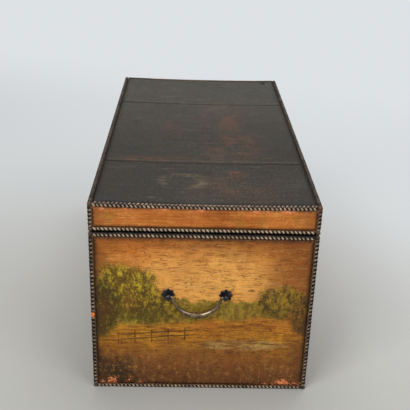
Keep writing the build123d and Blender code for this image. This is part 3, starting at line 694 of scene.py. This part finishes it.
face_x, face_y = HALF_X - EDGE, HALF_Y - EDGE
lid_panels = (
    ("right", SEAMS[1] + SEAM_GAP, face_x),
    ("middle", SEAMS[0] + SEAM_GAP, SEAMS[1] - SEAM_GAP),
    ("left", -face_x, SEAMS[0] - SEAM_GAP),
)
for part, low, high in lid_panels:
    store = Mesh()
    start, size = (low, -face_y, LID_TOP), (high - low, 2 * face_y)
    sheet_block(store, start, X, Y, Z, size, FINE_CELL, TOP_LEATHER, 0.0003, high * 10, 0.003, shape=sunk)
    store.piece(f"lid_top_leather_{part}", top_leather, "lid", "dark_leather")

# Sole leather
store = Mesh()
start, size = (-face_x, -face_y, BASE_LOW), (2 * face_x, 2 * face_y)
sheet_block(store, start, X, Y, -Z, size, COARSE_CELL, SOLE_LEATHER, 0.0, 1)
store.piece("base_bottom_leather", under, "base", "sole_leather")

# Leather turned in over both rims, with a gap for the plates of the lock
RIM_BAND, PLATE_HALF = 0.0074, 0.0404
inner_x, inner_y = face_x - RIM_BAND, face_y - RIM_BAND
rim_strips = (
    (-face_x, face_x, inner_y, face_y),
    (-face_x, -PLATE_HALF, -face_y, -inner_y),
    (PLATE_HALF, face_x, -face_y, -inner_y),
    (-face_x, -inner_x, -inner_y, inner_y),
    (inner_x, face_x, -inner_y, inner_y),
)
for group, seat, up in (("base", BASE_TOP, 1), ("lid", LID_LOW, -1)):
    store = Mesh()
    for x0, x1, y0, y1 in rim_strips:
        size = (x1 - x0, y1 - y0)
        sheet_block(store, (x0, y0, seat), X, Y, up * Z, size, RIM_CELL, RIM_LEATHER, 0.0002, 4, 0.001)
    store.piece(f"{group}_rim_leather", top_leather, group, "dark_leather")

# Lining paper on the inside faces. In the base it stops under the dust lip, and goes round the lock.
LINING_TOP = 0.301
LOCK_HALF, LOCK_LOW = 0.0321, 0.2768
inside_x, inside_y = HALF_X - WALL, HALF_Y - WALL
base_floor, lid_roof = BASE_LOW + DECK, LID_TOP - DECK
round_lock = (
    (-inside_x, -LOCK_HALF, LINING_TOP),
    (LOCK_HALF, inside_x, LINING_TOP),
    (-LOCK_HALF, LOCK_HALF, LOCK_LOW),
)
linings = (
    ("base", base_floor, LINING_TOP, base_floor, Z, round_lock),
    ("lid", LID_LOW, lid_roof, lid_roof, -Z, ((-inside_x, inside_x, lid_roof),)),
)
for group, low, high, cap, facing, front_strips in linings:
    store = Mesh()
    length, width, height = 2 * inside_x, 2 * inside_y, high - low
    sheets = [((-inside_x, -inside_y, cap), X, Y, facing, (length, width), 0.0003, 2)]
    for side in (-1, 1):
        sheets.append(((side * inside_x, -inside_y, low), Y, Z, -side * X, (width, height), 0.0003, side + 6))
    sheets.append(((-inside_x, inside_y, low), X, Z, -Y, (length, height), 0.0003, 9))
    for x0, x1, top in front_strips:
        sheets.append(((x0, -inside_y, low), X, Z, Y, (x1 - x0, top - low), 0.0002, 12))
    for start, u, v, n, size, relief, seed in sheets:
        sheet_block(store, start, u, v, n, size, COARSE_CELL, PAPER, relief, seed)
    store.piece(f"{group}_lining", lining, group, "lining_paper")


# Lacing. Each loop crowns LOOP_CROWN from the edge and ends LOOP_REACH down the face.
LOOP_CROWN, LOOP_REACH = 0.0042, 0.0040
LOOP_HALF_WIDTH, LOOP_HALF_HEIGHT = 0.0022, 0.0013
CORE_RADIUS, KNOB_RADIUS = 0.0033, 0.0042
CORNER_GAP = 0.0046
PITCH, UPRIGHT_PITCH = 0.0072, 0.0080
LOWEST = 0.0001


def loop_shape(slant, first):
    """One loop of lacing, from a place on the crest of the edge down to its hole in one face.

    Gives the points in (along the edge, out of this face, out of the other face), with their wear and painted
    light.
    """
    stations, around = 8, 8
    centre = LOOP_CROWN - LOOP_HALF_HEIGHT
    bend = np.linspace(math.radians(first), 0, 12)
    route = [(centre * math.cos(a), centre * math.sin(a)) for a in bend]
    route = np.array(route + [(0.0030, -0.55 * LOOP_REACH), (0.0016, -LOOP_REACH)])
    run = np.append(0, np.cumsum(np.linalg.norm(np.diff(route, axis=0), axis=1)))
    share = np.linspace(0, 1, stations)
    path = np.stack([np.interp(share * run[-1], run, route[:, k]) for k in (0, 1)], axis=1)
    points, wear = [], []
    for i, (out, side) in enumerate(path):
        before, after = path[max(i - 1, 0)], path[min(i + 1, stations - 1)]
        along = np.array((slant / stations * 1.6, after[0] - before[0], after[1] - before[1]))
        along /= np.linalg.norm(along)
        normal = np.array((0, -along[2], along[1]))
        if normal @ np.array((0, out, side)) < 0:
            normal = -normal
        normal /= np.linalg.norm(normal)
        across = np.cross(along, normal)
        taper = math.sin(math.pi * (0.12 + 0.76 * share[i])) ** 0.6
        for k in range(around):
            angle = 2 * math.pi * k / around
            offset = LOOP_HALF_WIDTH * math.cos(angle) * across + LOOP_HALF_HEIGHT * math.sin(angle) * normal
            points.append(np.array((slant * (share[i] - 0.5), out, side)) + taper * offset)
            # Painted light with some wear: bright on the outer side of the loop's middle as painted
            # highlight, dark towards its ends, where it dips under, as painted shade.
            wear.append((0.1 + 0.85 * max(0.0, math.sin(angle)) ** 0.7) * taper ** 1.6)
    faces = turned(grid_faces(stations, around, wrap=True))
    faces.append(tuple(range(around))[::-1])
    faces.append(tuple((stations - 1) * around + k for k in range(around)))
    return np.array(points), faces, np.array(wear)


def lace(store, start, end, out_a, out_b, rows, pitch, seed, core_wear=0.05, shade=1.0):
    """Laces one edge over a dark core, which is painted shade between the loops. A row is (slant, start
    angle, shine), or None for no loops.
    """
    start, end = np.array(start, float), np.array(end, float)
    length = np.linalg.norm(end - start)
    along = (end - start) / length
    count = round(length / pitch)
    pitch = length / count
    rng = np.random.default_rng(seed)
    for row, near, far, shift in ((rows[0], out_a, out_b, 0.0), (rows[1], out_b, out_a, 0.5)):
        if row is None:
            continue
        slant, first, shine = row
        points, faces, wear = loop_shape(slant, first)
        if np.dot(np.cross(near, far), along) <= 0:
            faces = [face[::-1] for face in faces]
        for i in range(count):
            centre = (i + 0.25 + shift) * pitch + rng.normal(0, 0.0002)
            centre = min(max(centre, abs(slant) / 2), length - abs(slant) / 2)
            wide = 1 + rng.normal(0, 0.05)
            tall = 1 + min(0.03, rng.normal(0, 0.03))
            place = start + along * centre
            shaped = points[:, :1] * wide * along + points[:, 1:2] * tall * near + points[:, 2:] * tall * far
            store.put(place + shaped, faces, (wear + rng.normal(0, 0.04)) * shine * shade)
    # The core is near black as painted shade, with a band of painted highlight and wear along it.
    steps = max(2, round(length / 0.02))
    turns = np.linspace(-0.6, math.pi / 2 + 0.6, 7)
    core, wear = [], []
    for i in range(steps + 1):
        for turn in turns:
            ring = CORE_RADIUS * (math.cos(turn) * out_a + math.sin(turn) * out_b)
            core.append(start + along * length * i / steps + ring)
            wear.append(0.05 + core_wear * math.exp(-((turn - 1.0) / 0.35) ** 2))
    faces = turned(grid_faces(steps + 1, len(turns)))
    if np.dot(np.cross(out_a, out_b), along) > 0:
        faces = [face[::-1] for face in faces]
    store.put(core, faces, wear)


def knob(store, centre, seed):
    """The gathered leather over a corner."""
    rows, columns = 8, 12
    points = []
    for i in range(rows):
        polar = math.pi * i / (rows - 1)
        for k in range(columns):
            turn = 2 * math.pi * k / columns
            level = math.sin(polar)
            way = Vector((level * math.cos(turn), level * math.sin(turn), math.cos(polar)))
            size = KNOB_RADIUS * (1 + 0.06 * math.sin(5 * turn + seed) * level)
            points.append(Vector(centre) + way * size)
    store.put(points, grid_faces(rows, columns, wrap=True), np.full(len(points), 0.5))


# Level edges: their rows of loops lie down the side, and then over the top or bottom face
# Each row's shine is painted light: the rows that lie in the gap between lid and base are kept dim as painted
# shade, and the last number is the core's band of painted highlight and wear.
edge_rows = (
    ("base_foot_lacing", BASE_LOW, -1, "base", ((-0.0060, 45, 0.95), None), 0.05),
    ("base_rim_lacing", BASE_TOP, 1, "base", ((0.0060, 45, 1.0), (0.0050, 20, 0.3)), 0.45),
    ("lid_bottom_lacing", LID_LOW, -1, "lid", ((-0.0060, 34, 1.05), (0.0050, 20, 0.25)), 0.05),
    ("lid_top_lacing", LID_TOP, 1, "lid", ((0.0060, 64, 0.95), (0.0055, 64, 0.85)), 0.1),
)
for name, height, up, body, rows, core_wear in edge_rows:
    store = Mesh()
    # Painted light: dimmer crowns on the lid's long top edges.
    long_shine = 0.72 if name == "lid_top_lacing" else 0.95
    for side in (-1, 1):
        x, y = side * HALF_X, HALF_Y - CORNER_GAP
        lace(store, (x, -y, height), (x, y, height), side * X, up * Z, rows, PITCH, 11 + side, core_wear)
        x, y = HALF_X - CORNER_GAP, side * HALF_Y
        start, end = (-x, y, height), (x, y, height)
        lace(store, start, end, side * Y, up * Z, rows, PITCH, 21 + side, core_wear, long_shine)
        for face in (-1, 1):
            knob(store, (side * HALF_X, face * HALF_Y, height), side + 2 * face)
    vertices = np.concatenate(store.vertices)
    vertices[:, 2] = np.maximum(vertices[:, 2], LOWEST)
    if name == "lid_top_lacing":
        vertices[:, 2] -= sag(vertices[:, 1]) * smooth(vertices[:, 2], LID_TOP - 0.008, LID_TOP)
    store.vertices = [vertices]
    store.piece(name, laces, body, "lacing")

for body, low, high in SHELLS:
    store = Mesh()
    for side in (-1, 1):
        for face in (-1, 1):
            x, y = side * HALF_X, face * HALF_Y
            start, end = (x, y, low + CORNER_GAP), (x, y, high - CORNER_GAP)
            rows = ((-0.0032 * face, 56, 0.85), (0.0045, 56, 0.8))
            lace(store, start, end, side * X, face * Y, rows, UPRIGHT_PITCH, 31 + side + 2 * face)
    store.piece(f"{body}_corner_lacing", laces, body, "lacing")

# Materials of the CAD pieces
for node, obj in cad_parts.items():
    across = "end" in node or node in ("dust_lip_right", "dust_lip_left")
    if "board" in node or "rail" in node or "lip" in node:
        material = wood_y if across else wood_x
    elif node.startswith("handle_bail"):
        material = bronze
    elif node.startswith(("handle_rosettes", "handle_posts")):
        material = blackened
    elif node.startswith(("keyhole", "escutcheon")):
        material = brass
    elif obj.hide_render:
        continue
    else:
        material = iron
    obj.data.materials.clear()
    obj.data.materials.append(material)


# Studio
BACKDROP = (0.73, 0.76, 0.785, 1)
FLOOR_HALF, FLOOR_LEVEL = 30, -0.0002


def seen_directly(tree):
    """1 for rays from the camera, a reflection or a clear piece, and 0 for light on its way."""
    path = tree.nodes.new("ShaderNodeLightPath")
    total = path.outputs["Is Camera Ray"]
    for ray in ("Is Glossy Ray", "Is Transmission Ray"):
        node = tree.nodes.new("ShaderNodeMath")
        node.operation = "MAXIMUM"
        tree.links.new(total, node.inputs[0])
        tree.links.new(path.outputs[ray], node.inputs[1])
        total = node.outputs[0]
    return total


def blend(tree, share, first, second, output):
    """Shows the first shader where share is 0, and the second where it is 1."""
    node = tree.nodes.new("ShaderNodeMixShader")
    tree.links.new(share, node.inputs[0])
    tree.links.new(first.outputs[0], node.inputs[1])
    tree.links.new(second.outputs[0], node.inputs[2])
    tree.links.new(node.outputs[0], tree.nodes[output].inputs["Surface"])


def studio_surface():
    """Grey studio floor that fades into the backdrop behind the trunk and in the distance; its colour is
    painted lighter with distance as painted light.
    """
    look = Look("studio_paper")
    speckle = look.noise(40, 2, 0.5)
    # Painted light: the floor's own colour is darker in front of the trunk and lighter behind it.
    far = look.step(look.add(look.x, look.times(look.y, -0.35)), 0.55, -0.75)
    near_tone = look.mix(look.times(speckle, 0.1), (0.40, 0.40, 0.375), (0.43, 0.43, 0.405))
    look.finish(look.mix(far, near_tone, (0.60, 0.62, 0.62)), 0.9, specular=0.1)
    glow = look.tree.nodes.new("ShaderNodeEmission")
    glow.inputs["Color"].default_value = BACKDROP
    behind = look.step(look.add(look.x, look.times(look.y, -0.4)), -0.2, -2.0)
    distant = look.step(look.length(look.x, look.y), 2.5, 9.0)
    share = look.times(look.most(behind, distant), seen_directly(look.tree))
    blend(look.tree, share, look.shader, glow, "Material Output")
    return look.material


def plane(name, half, level, material):
    mesh = bpy.data.meshes.new(name)
    corners = [(-half, -half, level), (half, -half, level), (half, half, level), (-half, half, level)]
    mesh.from_pydata(corners, [], [(0, 1, 2, 3)])
    mesh.materials.append(material)
    obj = bpy.data.objects.new(name, mesh)
    bpy.context.collection.objects.link(obj)


plane("floor", FLOOR_HALF, FLOOR_LEVEL, studio_surface())


def lamp(name, at, target, size, power):
    data = bpy.data.lights.new(name, "AREA")
    data.shape, data.size, data.energy = "SQUARE", size, power
    obj = bpy.data.objects.new(name, data)
    obj.location = at
    obj.rotation_euler = (Vector(target) - Vector(at)).to_track_quat("-Z", "Y").to_euler()
    bpy.context.collection.objects.link(obj)


lamp("key", (2.2, -1.5, 2.6), (0.1, 0, 0.2), 1.6, 62)
lamp("fill", (2.2, 1.8, 2.3), (0.2, 0, 0.2), 1.8, 38)
lamp("top", (-0.6, 0.2, 2.8), (0, 0, 0.3), 2.0, 44)

world = bpy.data.worlds.new("studio")
bpy.context.scene.world = world
world.use_nodes = True
ambient = world.node_tree.nodes["Background"]
ambient.inputs["Color"].default_value = (0.80, 0.82, 0.85, 1)
ambient.inputs["Strength"].default_value = 0.42
backdrop = world.node_tree.nodes.new("ShaderNodeBackground")
backdrop.inputs["Color"].default_value = BACKDROP
blend(world.node_tree, seen_directly(world.node_tree), ambient, backdrop, "World Output")

# Camera, matched to the photograph: its place in metres, and its turns in degrees
EYE = (1.5736, -0.0338, 0.9064)
YAW, DIP, ROLL = -1.623, 24.30, 1.816
LENS, SENSOR = 66.53, 36.0

camera = bpy.data.cameras.new("camera")
camera.lens, camera.sensor_width = LENS, SENSOR
camera.clip_end = 100
eye = bpy.data.objects.new("camera", camera)
bpy.context.collection.objects.link(eye)
yaw, dip, roll = (math.radians(angle) for angle in (YAW, DIP, ROLL))
forward = Vector((-math.cos(yaw) * math.cos(dip), -math.sin(yaw) * math.cos(dip), -math.sin(dip)))
right = Vector((-math.sin(yaw), math.cos(yaw), 0))
up = right.cross(forward)
right, up = right * math.cos(roll) + up * math.sin(roll), up * math.cos(roll) - right * math.sin(roll)
turn = Matrix((right, up, -forward)).transposed().to_4x4()
eye.matrix_world = Matrix.Translation(EYE) @ turn
bpy.context.scene.camera = eye

bpy.context.scene.view_settings.view_transform = "Standard"
